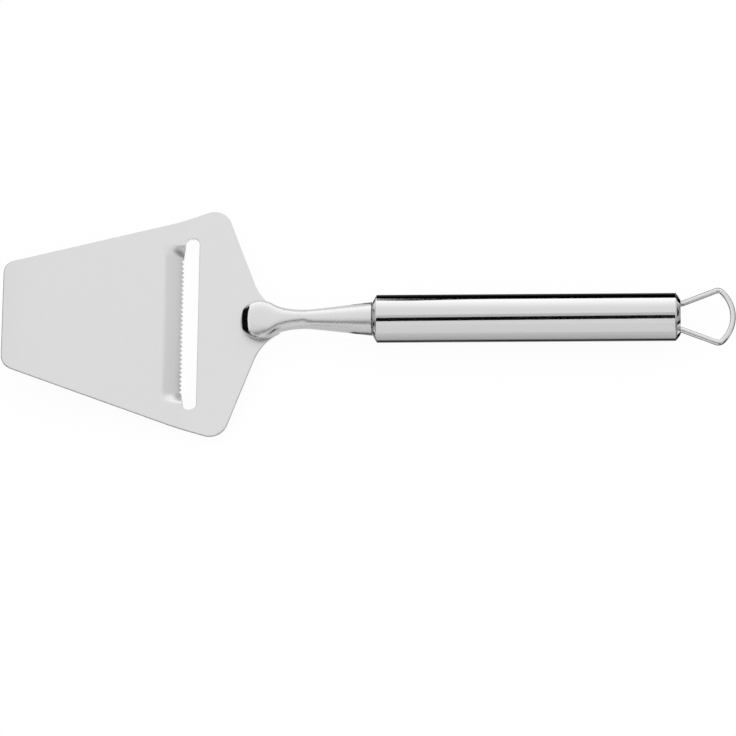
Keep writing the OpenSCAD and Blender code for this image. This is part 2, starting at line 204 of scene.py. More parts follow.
class BladeSizes(bpy.types.PropertyGroup):
    """Sizes of the sheet blade, its slot and its toothed lip."""

    tip_half: length("Tip half width", "Half width of the straight tip edge", 17.5)
    tip_round: length("Tip corner", "Radius of the tip corners", 4.5)
    shoulder_at: length("Shoulder distance", "Distance from the tip to the widest point", 71.6)
    shoulder_half: length("Shoulder half width", "Half width at the sharp shoulder", 40.2)
    shoulder_round: length("Shoulder corner", "Radius of the shoulder corners", 6)
    tail_at: length("Tail corner distance", "Distance from the tip to the tail's corner", 86.1)
    tail_half: length("Tail half width", "Half width of the tail under the foot", 2.3)
    tail_end: length("Tail end", "Distance from the tip to the tail's end", 90.5)
    tail_round: length("Tail fillet", "Radius of the hollow curves into the tail", 17)
    sheet: length("Sheet thickness", "Thickness of the steel sheet", 1.3)
    edge_round: length("Edge rounding", "Radius of the deburred edges", 0.16)
    bend_at: length("Bend distance", "Distance from the tip to the cross bend", 56.8)
    bend_height: length("Bend height", "Height of the top face at the bend", 3.7)
    bend_run: length("Bend run", "Length over which the bend is rounded", 3)
    tip_rise: angle("Tip rise", "Angle at which the front rises to the tip", 12.4)
    tail_rise: angle("Tail rise", "Angle at which the back rises to the neck", 3.8)
    slot_back: length("Slot back edge", "Distance from the tip to the slot's back edge", 63.3)
    slot_front: length("Slot front edge", "Distance from the tip to the slot's front edge", 58.7)
    slot_length: length("Slot length", "Length of the slot across the blade", 59)
    slot_round: length("Slot corner", "Radius of the slot's corners", 1.9)
    lip_start: length("Lip start", "Distance from the tip to the lip's start", 51)
    lip_drop: length("Lip drop", "Distance by which the lip's edge is pressed down", 2.9)
    lip_draw: length("Lip draw", "Distance by which the lip's edge moves back", 0.7)
    lip_wall: length("Lip wall", "Length of the slanted wall at each end of the lip", 4.6)
    lip_edge: share("Ground edge", "Share of the sheet left at the ground edge", 0.36)
    teeth: bpy.props.IntProperty(name="Teeth", description="Teeth on the cutting edge", default=31)
    tooth_pitch: length("Tooth pitch", "Distance from tooth to tooth", 1.5)
    tooth_depth: length("Tooth depth", "Depth of the notches between teeth", 0.75)


class NeckSizes(bpy.types.PropertyGroup):
    """Sizes of the forged neck."""

    nose_at: length("Nose distance", "Distance from the tip to the foot's nose", 77.4)
    nose_length: length("Nose length", "Length from the nose to the widest section", 7.1)
    nose_round: length("Nose curve", "Radius of the nose's lower edge seen from above", 14.3)
    nose_slope: ratio("Nose slope", "Rise over run of the nose's wall", 5.2)
    brow_slope: ratio("Brow slope", "Rise over run of the bevel over it", 0.75)
    brow: length("Brow length", "Distance from the nose to where the bevel reaches the crown", 3.05)
    crest_round: length("Crest rounding", "Blend between the nose's face and the top", 0.35)
    wall_round: length("Wall rounding", "Blend between the nose's face and its wall", 0.9)
    foot_half: length("Foot half width", "Half width of the foot", 6.5)
    foot_crown: length("Foot crown", "Height of the foot above the handle's axis", 2.4)
    taper: length("Foot taper", "Length from the widest section to the waist", 12.7)
    waist_run: length("Waist length", "Length of the waist at its narrowest", 2.8)
    waist: length("Waist radius", "Radius at the waist", 3.2)
    flare: length("Flare radius", "Radius at the front cap", 5.5)
    end_at: length("Neck end", "Distance from the tip to the neck's back end", 121)
    tang: length("Tang radius", "Radius of the tang inside the handle", 3)
    tang_run: length("Tang length", "Length of the tang", 26)
    seat_gap: length("Seat gap", "Height of the weld between foot and blade", 0.25)
    seat_past: length("Seat end", "Length of the seat behind the blade's tail", 0.3)


class HandleSizes(bpy.types.PropertyGroup):
    """Sizes of the tube and its two caps."""

    wall: length("Tube wall", "Wall of the handle tube", 1)
    front_bevel: length("Front bevel", "Length of the front cap's bevel", 1.2)
    front_face: length("Front face", "Radius of the front cap's flat face", 5.6)
    rear_bevel: length("Rear bevel", "Length of the rear cap's bevel", 1.5)
    rear_face: length("Rear face", "Radius of the rear cap's flat face", 5.75)
    plug: length("Plug", "Length of each cap's plug inside the tube", 5)
    clearance: length("Plug clearance", "Radial clearance of the plug", 0.05)
    bore: length("Tang bore", "Radius of the hole for the tang", 3.1)
    edge: length("Edge rounding", "Radius of the polished edges", 0.15)


class LoopSizes(bpy.types.PropertyGroup):
    """Sizes of the wire loop."""

    wire: length("Wire", "Diameter of the wire", 1.9)
    wire_out: length("Wire ends", "Distance of each wire end from the handle's axis", 4.5)
    bend: length("Arm bend", "Radius of the bend where an arm leaves the cap", 3)
    corner: length("Corner", "Radius of the loop's corners", 2)
    corner_back: length("Corner back", "Distance from the loop's end to the corner centres", 5.8)
    corner_out: length("Corner out", "Distance of the corner centres from the axis", 6.9)
    tail: length("Wire tail", "Length of each end behind the cap's plug", 1.2)
    reach: length("Loop reach", "Distance from the rear cap's face to the loop's end", 18)


class Finishes(bpy.types.PropertyGroup):
    """Colours of the steels and of the stage."""

    satin: tone("Satin sheet", "Ground and satined stainless sheet", "#CCCCCC")
    satin_dark: tone("Satin sheet grain", "Grain lines of the sheet", "#C8C8C8")
    forged: tone("Forged neck", "Tumbled and satined neck", "#C8C8C8")
    forged_dark: tone("Forged neck grain", "Darker specks of the neck", "#C6C6C6")
    mirror: tone("Mirror steel", "Mirror polished tube and caps", "#C9C9C9")
    mirror_dark: tone("Polishing lines", "Fine lines along the tube", "#C3C3C3")
    weld: tone("Weld", "Weld metal", "#8E8E8C")
    floor: tone("Floor", "Studio floor", "#F4F4F4")
    paper: tone("Grey paper", "Paper on the floor's south side", "#DADADA")
    neck_paper: tone("Neck paper", "Paper beside the neck", "#E2E2E2")


def linear(colour):
    """Linear RGBA of an sRGB hex value."""
    c = np.array([int(colour[i : i + 2], 16) / 255 for i in (1, 3, 5)])
    return (*np.where(c <= 0.04045, c / 12.92, ((c + 0.055) / 1.055) ** 2.4), 1.0)


# Materials

CLOUD_SCALE = 60.0  # soft patches of the roughness, about 17 mm wide
NOISE_LOW, NOISE_HIGH = 0.6, 1.4  # range of two noises added together
POLISHED = 0.1  # roughness of a polished face


def add(tree, kind, links=None, **settings):
    """Adds one node. links maps a socket's name or number to a value or another node's output."""
    made = tree.nodes.new(kind)
    for key, value in settings.items():
        setattr(made, key, value)
    for socket, value in (links or {}).items():
        if isinstance(value, bpy.types.NodeSocket):
            tree.links.new(value, made.inputs[socket])
        else:
            made.inputs[socket].default_value = value
    return made


def new_material(name):
    """Material with an empty node tree, and that tree."""
    material = bpy.data.materials.new(name)
    material.use_nodes = True
    material.node_tree.nodes.clear()
    return material, material.node_tree


def steel(name, light, dark, across, along, rough, rough_spread, relief, polished=None):
    """Bare stainless steel. A stretched noise, with one cell `across` metres wide and `along` metres
    long in X, gives the tool marks: it mixes two near greys, moves the roughness by rough_spread
    and lifts the surface by relief metres. Where the attribute `polished` is 1, the face is bright."""
    material, tree = new_material(name)
    place = add(tree, "ShaderNodeTexCoord").outputs["Object"]
    scale = (1 / along, 1 / across, 1 / across)
    grain_at = add(tree, "ShaderNodeMapping", {"Vector": place, "Scale": scale}).outputs[0]
    fine = {"Vector": grain_at, "Scale": 1.0, "Detail": 3.0, "Roughness": 0.6}
    grain = add(tree, "ShaderNodeTexNoise", fine).outputs["Fac"]
    coarse = {"Vector": place, "Scale": CLOUD_SCALE, "Detail": 2.0}
    cloud = add(tree, "ShaderNodeTexNoise", coarse).outputs["Fac"]
    mixed = add(tree, "ShaderNodeMix", {0: grain, 6: linear(light), 7: linear(dark)}, data_type="RGBA")
    both = add(tree, "ShaderNodeMath", {0: grain, 1: cloud}, operation="ADD").outputs[0]
    spread_out = {
        "Value": both,
        "From Min": NOISE_LOW,
        "From Max": NOISE_HIGH,
        "To Min": rough - rough_spread,
        "To Max": rough + rough_spread,
    }
    roughness = add(tree, "ShaderNodeMapRange", spread_out).outputs[0]
    if polished:
        bright = add(tree, "ShaderNodeAttribute", attribute_name=polished).outputs["Fac"]
        ends = {0: bright, 2: roughness, 3: POLISHED}
        roughness = add(tree, "ShaderNodeMix", ends, data_type="FLOAT").outputs[0]
    bump = add(tree, "ShaderNodeBump", {"Height": grain, "Distance": relief, "Strength": 1.0}).outputs[0]
    looks = {"Base Color": mixed.outputs[2], "Metallic": 1.0, "Roughness": roughness, "Normal": bump}
    shader = add(tree, "ShaderNodeBsdfPrincipled", looks)
    add(tree, "ShaderNodeOutputMaterial", {"Surface": shader.outputs[0]})
    return material


def glowing(name, strength):
    """Matt card that sends out a plain grey of this strength."""
    material, tree = new_material(name)
    light = add(tree, "ShaderNodeEmission", {"Color": WHITE, "Strength": strength})
    add(tree, "ShaderNodeOutputMaterial", {"Surface": light.outputs[0]})
    return material


# Blade

FALL_ROUND = 0.2  # share of the lip over which its fall begins as a square
GRIND_START = 0.55  # share of the lip at which the ground edge begins
TOOTH_STEPS = 8  # faces along each tooth
ARC_MIDDLE = 0.293  # inset of a rounded edge's middle point, one less the cosine of 45 degrees
THIN_ROUND = 0.4  # most of the thickness that an edge's rounding takes where the sheet is thin


def sheet_height(b, x):
    """Height of the sheet's top face: two slopes that meet at the bend, joined by a parabola."""
    up, down = math.tan(b.tip_rise), math.tan(b.tail_rise)
    from_bend = x - b.bend_at
    curve = b.bend_height - from_bend * up + (up + down) * (from_bend + b.bend_run) ** 2 / (4 * b.bend_run)
    front, back = b.bend_height - from_bend * up, b.bend_height + from_bend * down
    return np.where(from_bend < -b.bend_run, front, np.where(from_bend > b.bend_run, back, curve))


def blade_faces(b, x, y, front):
    """Heights of the sheet's top and bottom faces. On the front of the slot the lip falls away from
    the line of the blade, first as a square and then evenly, by an eased share of its full drop
    near its ends, and thins towards its ground edge. The two parts of the fall meet with one slope."""
    corner = b.slot_length / 2 - b.slot_round
    part = ease((corner - np.abs(y)) / b.lip_wall) * front
    edge = b.slot_front - b.lip_draw * part
    u = np.clip((x - b.lip_start) / (edge - b.lip_start), 0, 1)
    even = 1 - FALL_ROUND / 2
    fall = np.where(u < FALL_ROUND, u * u / (2 * FALL_ROUND * even), (u - FALL_ROUND / 2) / even)
    line = b.bend_height + (b.bend_at - x) * math.tan(b.tip_rise)
    top = (1 - part) * sheet_height(b, x) + part * (line - b.lip_drop * fall)
    ground = np.clip((u - GRIND_START) / (1 - GRIND_START), 0, 1)
    left = 1 - part * (1 - b.lip_edge) * ground
    return top, top - b.sheet * left


def slot_outline(b):
    """Slot edge as four lines, counter-clockwise from its north front corner: toothed front, south
    end, back and north end. The teeth are a triangle wave of the distance across the blade."""
    corner = b.slot_length / 2 - b.slot_round
    half = b.teeth * b.tooth_pitch / 2
    y = np.concatenate(
        [
            np.linspace(corner, half, 25)[:-1],
            np.linspace(half, -half, b.teeth * TOOTH_STEPS + 1),
            np.linspace(-half, -corner, 25)[1:],
        ]
    )
    step = np.abs(((y + half) / b.tooth_pitch) % 1 - 0.5) * 2
    notch = np.where(np.abs(y) < half, 1 - step, 0)
    x = b.slot_front - b.lip_draw * ease((corner - np.abs(y)) / b.lip_wall) - b.tooth_depth * notch
    front = np.stack([x, y], -1)
    t = np.linspace(0, np.pi / 2, 23)[:, None]
    r = b.slot_round
    south = np.concatenate(
        [
            np.concatenate([b.slot_front + r - r * np.cos(t), -corner - r * np.sin(t)], -1),
            np.concatenate([b.slot_back - r + r * np.sin(t), -corner - r * np.cos(t)], -1),
        ]
    )
    back_y = np.linspace(-corner, corner, 201)
    back = np.stack([np.full_like(back_y, b.slot_back), back_y], -1)
    north = south[::-1] * (1, -1)
    return front, south, back, north


def blade_outline(b):
    """Outer edge as the four lines that face the slot's: round the tip, round the south shoulder,
    along the back edges and the tail, and round the north shoulder. They meet on the straight
    sides, `near` behind the tip, and on the straight back edges, `far_y` from the middle."""
    near, far_y = 46 * MM, 31 * MM
    side = (b.shoulder_half - b.tip_half) / b.shoulder_at
    north_near = [near, b.tip_half + side * near, 0]
    south_near = [near, -north_near[1], 0]
    slant = (b.tail_at - b.shoulder_at) / (b.shoulder_half - b.tail_half)
    south_far = [b.shoulder_at + slant * (b.shoulder_half - far_y), -far_y, 0]
    north_tip, south_tip = [0, b.tip_half, b.tip_round], [0, -b.tip_half, b.tip_round]
    shoulder = [b.shoulder_at, -b.shoulder_half, b.shoulder_round]
    tail, past_end = [b.tail_at, -b.tail_half, b.tail_round], [b.tail_end + 2 * b.tail_round, -b.tail_half, 0]
    tip = rounded_line([north_near, north_tip, south_tip, south_near], steps=24)
    south = rounded_line([south_near, shoulder, south_far], steps=32)
    into_tail = rounded_line([south_far, tail, past_end], steps=64)
    kept = into_tail[into_tail[:, 0] < b.tail_end]
    cut = [b.tail_end, np.interp(b.tail_end, into_tail[:, 0], into_tail[:, 1])]
    half_back = np.concatenate([kept, [cut]])
    back = np.concatenate([half_back, half_back[::-1] * (1, -1)])
    return tip, south, back, south[::-1] * (1, -1)


def blade_mesh(b):
    """Blade as one closed ring: u runs round the slot, and v across the top face from the slot's edge
    to the outer edge, round that edge, back across the bottom face and round the slot's edge.
    A plan point is the slot's edge plus a share of the way to the outer edge, and its height is a
    function of the plan point."""
    slots, rims = slot_outline(b), blade_outline(b)
    inner, outer, front = [], [], []
    for i, (edge, rim) in enumerate(zip(slots, rims)):
        across = np.abs(np.diff(edge if i in (1, 3) else edge[:, 1:] * (0, 1), axis=0))
        along = np.concatenate([[0], np.cumsum(np.hypot(across[:, 0], across[:, -1]))])
        inner.append(edge[:-1])
        outer.append(spread(rim, along[:-1] / along[-1]))
        front.append(np.full(len(edge) - 1, float(i == 0)))
    inner, outer, front = np.concatenate(inner), np.concatenate(outer), np.concatenate(front)
    way = outer - inner
    reach = np.linalg.norm(way, axis=1)[:, None]
    r = b.edge_round
    # Rows across a face: where an edge's rounding ends, a guard row behind it, and between the two
    # guards shares of the way that lie closer together near the slot.
    near = np.array([0, ARC_MIDDLE * r, r, 2.4 * r])
    share_out = np.linspace(0, 1, 42)[1:-1] ** 1.6
    inset_top = np.concatenate([near[2:] + 0 * reach, share_out * reach, reach - near[:1:-1]], 1)
    inset_top = np.maximum(inset_top, near[2:3])
    inset_top = np.sort(np.minimum(inset_top, reach - r), axis=1)
    inset_low = inset_top[:, ::-1][:, [0, 1, *range(3, inset_top.shape[1] - 3, 2), -2, -1]]
    over_edge = near[[1, 0, 0, 1]]
    rim_inset = reach - over_edge
    slot_inset = over_edge + 0 * reach
    inset = np.concatenate([inset_top, rim_inset, inset_low, slot_inset], 1)
    plan = inner[:, None] + way[:, None] * (inset / reach)[..., None]
    top, low = blade_faces(b, plan[..., 0], plan[..., 1], front[:, None])
    n, m = inset_top.shape[1], inset_low.shape[1]
    step = np.minimum(r, (top - low) * THIN_ROUND)
    z = np.where(np.arange(inset.shape[1]) < n, top, low)
    down = np.array([ARC_MIDDLE, 1, -1, -ARC_MIDDLE])
    for first, turn in ((n, down), (n + 4 + m, -down)):
        part = slice(first, first + 4)
        face = np.where(turn > 0, top[:, part], low[:, part])
        z[:, part] = face - turn * step[:, part]
    points = np.stack([TIP_X + plan[..., 0], plan[..., 1], z], -1)
    return closed_mesh("slicing_blade", points, ring=True)


class SLICER_OT_blade(bpy.types.Operator):
    """Makes the sheet blade with its toothed slicing lip"""

    bl_idname = "slicer.blade"
    bl_label = "Make the blade"

    def execute(self, context):
        b, f = context.scene.slicer_blade, context.scene.slicer_finishes
        # Austenitic stainless sheet, ground along its length and then satined: an even pale grey with
        # hair lines. Real lines are about 0.05 mm apart; 0.3 mm is the finest that shows at this size.
        satin = steel(
            "satin_ground_stainless",
            f.satin,
            f.satin_dark,
            across=0.3 * MM,
            along=14 * MM,
            rough=0.36,
            rough_spread=0.04,
            relief=0.0006 * MM,
        )
        piece("blade_sheet", blade_mesh(b), satin, "slicing_blade")
        return {"FINISHED"}


# Neck

# Sections of the foot behind its widest place: share of the taper's length, share of the extra
# half width that is left, and share of the way from the foot's crown to the waist's.
FOOT_SECTIONS = np.array(
    [
        [0.134, 0.924, 0.0625],
        [0.268, 0.727, 0.25],
        [0.402, 0.439, 0.5],
        [0.567, 0.227, 0.7125],
        [0.787, 0.076, 0.9],
    ]
)
# Sections of the flare: share of its length, and share of the way from the waist to its full radius.
FLARE_SECTIONS = np.array([[0.214, 0.183], [0.614, 0.596]])
# Powers of the oval's sine and cosine on the foot, where 1 is round, and of the ridge over the nose.
UNDER_POWER, TOP_POWER = 0.5, 0.85
RIDGE_INNER, RIDGE_OUTER = 2.353, 0.425


def neck_widths(k, x):
    """Half width and crown height along the neck, by cubic curves through its named sections."""
    wide = k.nose_at + k.nose_length
    waist = wide + k.taper
    behind = waist + k.waist_run
    foot, flare = FOOT_SECTIONS, FLARE_SECTIONS
    foot_at = wide + foot[:, 0] * k.taper
    flare_at = behind + flare[:, 0] * (k.end_at - behind)
    at = np.concatenate([[wide], foot_at, [waist, behind], flare_at, [k.end_at]])
    round_part = np.concatenate([[k.waist] * 2, k.waist + flare[:, 1] * (k.flare - k.waist), [k.flare]])
    foot_half = k.waist + foot[:, 1] * (k.foot_half - k.waist)
    foot_crown = k.foot_crown + foot[:, 2] * (k.waist - k.foot_crown)
    half = np.concatenate([[k.foot_half], foot_half, round_part])
    crown = np.concatenate([[k.foot_crown], foot_crown, round_part])
    last = len(at) - 1
    before, after = np.maximum(np.arange(last + 1) - 1, 0), np.minimum(np.arange(last + 1) + 1, last)
    i = np.clip(np.searchsorted(at, x, "right") - 1, 0, last - 1)
    h = at[i + 1] - at[i]
    t = np.clip((x - at[i]) / h, 0, 1)
    found = []
    for table in (half, crown):
        slope = (table[after] - table[before]) / (at[after] - at[before])
        found.append(
            table[i] * (1 + 2 * t) * (1 - t) ** 2
            + table[i + 1] * t * t * (3 - 2 * t)
            + h * (slope[i] * t * (1 - t) ** 2 - slope[i + 1] * t * t * (1 - t))
        )
    nose = np.clip((wide - x) / (wide - k.nose_at), 0, 1)
    found[0] = np.where(x < wide, k.foot_half * np.sqrt(1 - nose**2), found[0])
    found[1] = np.where(x < wide, k.foot_crown, found[1])
    return found


def soft_lower(a, b, blend):
    """The lower of two heights, rounded where they cross within `blend` of each other, and the share
    of the second: a (1 - m) + b m - blend m (1 - m), with m from 0 to 1 as a rises past b."""
    m = np.clip(0.5 + 0.5 * (a - b) / blend, 0, 1)
    return a * (1 - m) + b * m - blend * m * (1 - m), m


def neck_mesh(k, b):
    """Neck as sections along X: each is an oval whose sine and cosine are raised to powers that go
    from flat on the foot to round at the waist. The top is the softened lower of three heights: the
    oval, the nose's wall, a plane that rises from the nose's curve, and the bevel over it, which
    falls forward from a ridge of height crown (1 - |y / half|^2.353)^0.425. The bottom stays above
    the blade. Behind the neck the tang is a plain round."""
    wide = k.nose_at + k.nose_length
    seat_end = b.tail_end + k.seat_past
    # The first rows lie close together, because the half width grows there as a square root.
    x = np.concatenate(
        [
            k.nose_at + k.nose_length * np.array([0.004, 0.012, 0.025]),
            np.linspace(k.nose_at + 0.3 * MM, wide, 90),
            np.linspace(wide, seat_end, 40)[1:],
            np.linspace(seat_end + 0.05 * MM, k.end_at, 130),
        ]
    )[:, None]
    sides = 144
    a = (-2 * np.pi * (np.arange(sides) + 0.5) / sides)[None]
    half, crown = neck_widths(k, x)
    round_share = ease((x - wide) / k.taper)
    low_power = UNDER_POWER + (1 - UNDER_POWER) * round_share
    top_power = TOP_POWER + (1 - TOP_POWER) * round_share
    under = np.sin(a) < 0
    power = np.where(under, low_power, top_power)
    y = half * np.sign(np.cos(a)) * np.abs(np.cos(a)) ** power
    depth = np.maximum(k.waist, half * round_share)
    up = np.where(under, depth, crown) * np.sign(np.sin(a)) * np.abs(np.sin(a)) ** power
    seat = sheet_height(b, x) + k.seat_gap
    run = x - k.nose_at - y * y / (2 * k.nose_round)
    wall = seat + k.nose_slope * run + 0.02 * MM
    from_middle = np.abs(y / k.foot_half) ** RIDGE_INNER
    ridge = k.foot_crown * np.maximum(1 - from_middle, 0) ** RIDGE_OUTER
    bevel = AXIS_Z + ridge - k.brow_slope * (k.brow - run)
    body, mix = soft_lower(AXIS_Z + up, bevel, k.crest_round)
    top, steep = soft_lower(body, wall, k.wall_round)
    floor = np.where(x < seat_end + 0.01 * MM, seat, -1.0)
    z = np.maximum(top, floor)
    x, y = np.broadcast_arrays(x, y)
    ends = rounded_line(
        [
            [k.end_at, k.flare - 0.12 * MM, 0],
            [k.end_at, k.tang, 0.1 * MM],
            [k.end_at + k.tang_run, k.tang, 0.5 * MM],
            [k.end_at + k.tang_run, 0.2 * MM, 0],
        ],
        guard=0.1 * MM,
    )
    tang = np.stack(
        np.broadcast_arrays(ends[:, :1], ends[:, 1:] * np.cos(a), AXIS_Z + ends[:, 1:] * np.sin(a)), -1
    )
    lip = np.stack([x[-1], y[-1] * 0.995, AXIS_Z + (z[-1] - AXIS_Z) * 0.995], -1)[None]
    points = np.concatenate([np.stack([x, y, z], -1), lip, tang])
    points[..., 0] += TIP_X
    # The polish covers the bevel, with a narrow soft border, and leaves out the wall below it.
    marks = np.zeros(points.shape[:2])
    marks[: len(x)] = ease(mix * 1.6 - 0.5) * (1 - steep)
    return closed_mesh("neck", points, marks={"nose_face": marks})


class SLICER_OT_neck(bpy.types.Operator):
    """Makes the forged neck with its foot, waist, flare and tang"""

    bl_idname = "slicer.neck"
    bl_label = "Make the neck"

    def execute(self, context):
        scene = context.scene
        f = scene.slicer_finishes
        # Forged stainless, tumbled and satined: soft reflections without lines, and a bright nose
        # where the cut end was polished. The specks are 0.5 mm, as coarse as they need to show.
        forged = steel(
            "satined_forged_stainless",
            f.forged,
            f.forged_dark,
            across=0.5 * MM,
            along=0.7 * MM,
            rough=0.27,
            rough_spread=0.02,
            relief=0.0001 * MM,
            polished="nose_face",
        )
        mesh = neck_mesh(scene.slicer_neck, scene.slicer_blade)
        piece("neck_forging", mesh, forged, "neck")
        return {"FINISHED"}


# Handle


class SLICER_OT_handle(bpy.types.Operator):
    """Makes the handle tube and its two bevelled caps"""

    bl_idname = "slicer.handle"
    bl_label = "Make the handle"

    def execute(self, context):
        h, f = context.scene.slicer_handle, context.scene.slicer_finishes
        start, end = TUBE_LOW.x - TIP_X, TUBE_HIGH.x - TIP_X
        radius = (TUBE_HIGH.z - TUBE_LOW.z) / 2
        inner = radius - h.wall
        plug = inner - h.clearance
        e = h.edge
        # Roundings of edges that stay hidden, of the inner corner where a plug meets its cap, and of
        # a plug's end.
        hidden, root, plug_end = 0.1 * MM, 0.05 * MM, 0.2 * MM
        # Drawn stainless tube, polished to a mirror along its length: sharp reflections, softened a
        # little by polishing lines. These are drawn 0.25 mm wide, far coarser than the real ones.
        mirror = steel(
            "mirror_polished_stainless",
            f.mirror,
            f.mirror_dark,
            across=0.25 * MM,
            along=40 * MM,
            rough=0.075,
            rough_spread=0.015,
            relief=0.00006 * MM,
        )
        seam = [start + 20 * MM, radius, 0]
        tube = rounded_line(
            [seam, [end, radius, e], [end, inner, hidden], [start, inner, hidden], [start, radius, e], seam],
            guard=0.12 * MM,
        )
        piece("handle_tube_polished", turned_mesh("handle_tube", tube), mirror, "handle_tube")
        front = start - h.front_bevel
        seam = [start + h.plug, h.bore + 1 * MM, 0]
        front_cap = rounded_line(
            [
                seam,
                [start + h.plug, h.bore, hidden],
                [front, h.bore, hidden],
                [front, h.front_face, e],
                [start, radius, e],
                [start, plug, root],
                [start + h.plug, plug, plug_end],
                seam,
            ],
            guard=0.1 * MM,
        )
        piece("front_cap_polished", turned_mesh("front_cap", front_cap), mirror, "front_cap")
        rear = end + h.rear_bevel
        hub = 0.4 * MM
        rear_cap = rounded_line(
            [
                [end - h.plug, hub, 0],
                [end - h.plug, plug, plug_end],
                [end, plug, root],
                [end, radius, e],
                [rear, h.rear_face, e],
                [rear, hub, 0],
            ],
            guard=0.1 * MM,
        )
        piece("rear_cap_polished", turned_mesh("rear_cap", rear_cap), mirror, "rear_cap")
        return {"FINISHED"}


# Hanging loop


def loop_path(w, h):
    """Middle line of the wire in the plane of the handle's axis, from one hidden end to the other:
    straight end, small bend, straight arm, corner arc, wide bow, and the same mirrored. The bow is
    the circle that ends at the loop's far point and touches both corner circles from outside."""
    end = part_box("hanging_loop")[1].x - TIP_X
    radius = w.wire / 2
    rear = end - w.reach
    corner = np.array([end - w.corner_back, w.corner_out])
    far = end - radius
    reach = np.array([corner[0] - rear, corner[1] - w.wire_out - w.bend])
    lean = math.atan2(reach[1], reach[0]) + math.asin((w.bend + w.corner) / np.linalg.norm(reach))
    limit = far - w.corner
    bow_x = (limit**2 - corner[0] ** 2 - corner[1] ** 2) / (2 * (limit - corner[0]))
    bow_angle = math.atan2(corner[1], corner[0] - bow_x)

    def arc(centre, r, first, last, n):
        t = np.linspace(first, last, n)[:, None]
        return np.asarray(centre) + r * np.concatenate([np.cos(t), np.sin(t)], 1)

    tube_end = rear - h.rear_bevel
    stub = np.array([[tube_end - h.plug - w.tail, w.wire_out], [tube_end, w.wire_out]])
    first_bend = arc((rear, w.wire_out + w.bend), w.bend, -np.pi / 2, lean - np.pi / 2, 14)
    turn = arc(corner, w.corner, np.pi / 2 + lean, bow_angle, 30)
    bow = arc((bow_x, 0), far - bow_x, bow_angle, 0, 34)
    half = np.concatenate([stub, first_bend, turn, bow[1:]])
    return np.concatenate([half, half[-2::-1] * (1, -1)])


def loop_mesh(w, h, sides=40):
    """Round wire carried along the loop's path: each ring lies across the path's direction."""
    path = loop_path(w, h)
    line = np.concatenate([path[:1], path, path[-1:]])
    ahead = line[2:] - line[:-2]
    ahead /= np.linalg.norm(ahead, axis=1)[:, None]
    side = np.stack([-ahead[:, 1], ahead[:, 0]], -1)
    a = np.linspace(0, 2 * np.pi, sides, endpoint=False)
    r = w.wire / 2
    plan = path[:, None] + side[:, None] * (r * np.cos(a))[None, :, None]
    z = np.broadcast_to(AXIS_Z + r * np.sin(a), plan.shape[:2])
    points = np.concatenate([plan, z[..., None]], -1)
    points[..., 0] += TIP_X
    return closed_mesh("hanging_loop", points)


class SLICER_OT_loop(bpy.types.Operator):
    """Makes the bent wire loop"""

    bl_idname = "slicer.loop"
    bl_label = "Make the hanging loop"

    def execute(self, context):
        scene = context.scene
        f = scene.slicer_finishes
        # Hard drawn stainless wire, bent and then polished: bright, with drawing lines along it.
        wire = steel(
            "polished_drawn_wire",
            f.mirror,
            f.mirror_dark,
            across=0.2 * MM,
            along=6 * MM,
            rough=0.27,
            rough_spread=0.03,
            relief=0.0002 * MM,
        )
        mesh = loop_mesh(scene.slicer_loop, scene.slicer_handle)
        piece("hanging_loop_wire", mesh, wire, "hanging_loop")
        return {"FINISHED"}


class SLICER_OT_welds(bpy.types.Operator):
    """Gives the hidden welds their finish"""

    bl_idname = "slicer.welds"
    bl_label = "Finish the welds"

    def execute(self, context):
        f = context.scene.slicer_finishes
        # Weld metal as it cooled: dull grey with paler patches and a coarse, uneven skin.
        weld = steel(
            "weld_bead_steel",
            f.weld,
            f.forged_dark,
            across=0.4 * MM,
            along=0.4 * MM,
            rough=0.5,
            rough_spread=0.1,
            relief=0.004 * MM,
        )
        for name in ("foot_weld", "tang_weld", "loop_weld_left", "loop_weld_right"):
            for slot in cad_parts[name].material_slots:
                slot.material = weld
        return {"FINISHED"}


# Stage

LAYER = 0.1  # height of the lowest sheet over the floor, and of each further layer
CAP, REAR = -4, 103  # where the sheets beside the handle start and end
DOME = 1500  # radius round the handle's axis at which the lens cards hang


def flat(x0, x1, y0, y1, layer=1):
    """Corners of a sheet on the floor. Higher layers cover lower ones."""
    z = layer * LAYER
    return [[x0, y0, z], [x1, y0, z], [x1, y1, z], [x0, y1, z]]


def upright(x0, y0, x1, y1, z0, z1):
    """Corners of a card that stands upright over the line between two points of the floor."""
    return [[x0, y0, z0], [x1, y1, z0], [x1, y1, z1], [x0, y0, z1]]


def over(*corners):
    """Corners [x, degrees over the north horizon] on the dome round the handle."""
    turned = [(x, math.radians(degrees)) for x, degrees in corners]
    return [[x, DOME * math.cos(t), AXIS_Z / MM + DOME * math.sin(t)] for x, t in turned]


# Strength of the light that each kind of card or cloth sends out
GLOW = {
    "black": 0.0,
    "dark": 0.05,
    "dim": 0.22,
    "shade": 0.27,
    "half": 0.5,
    "grey": 0.8,
    "pale": 0.95,
    "bright": 1.4,
}
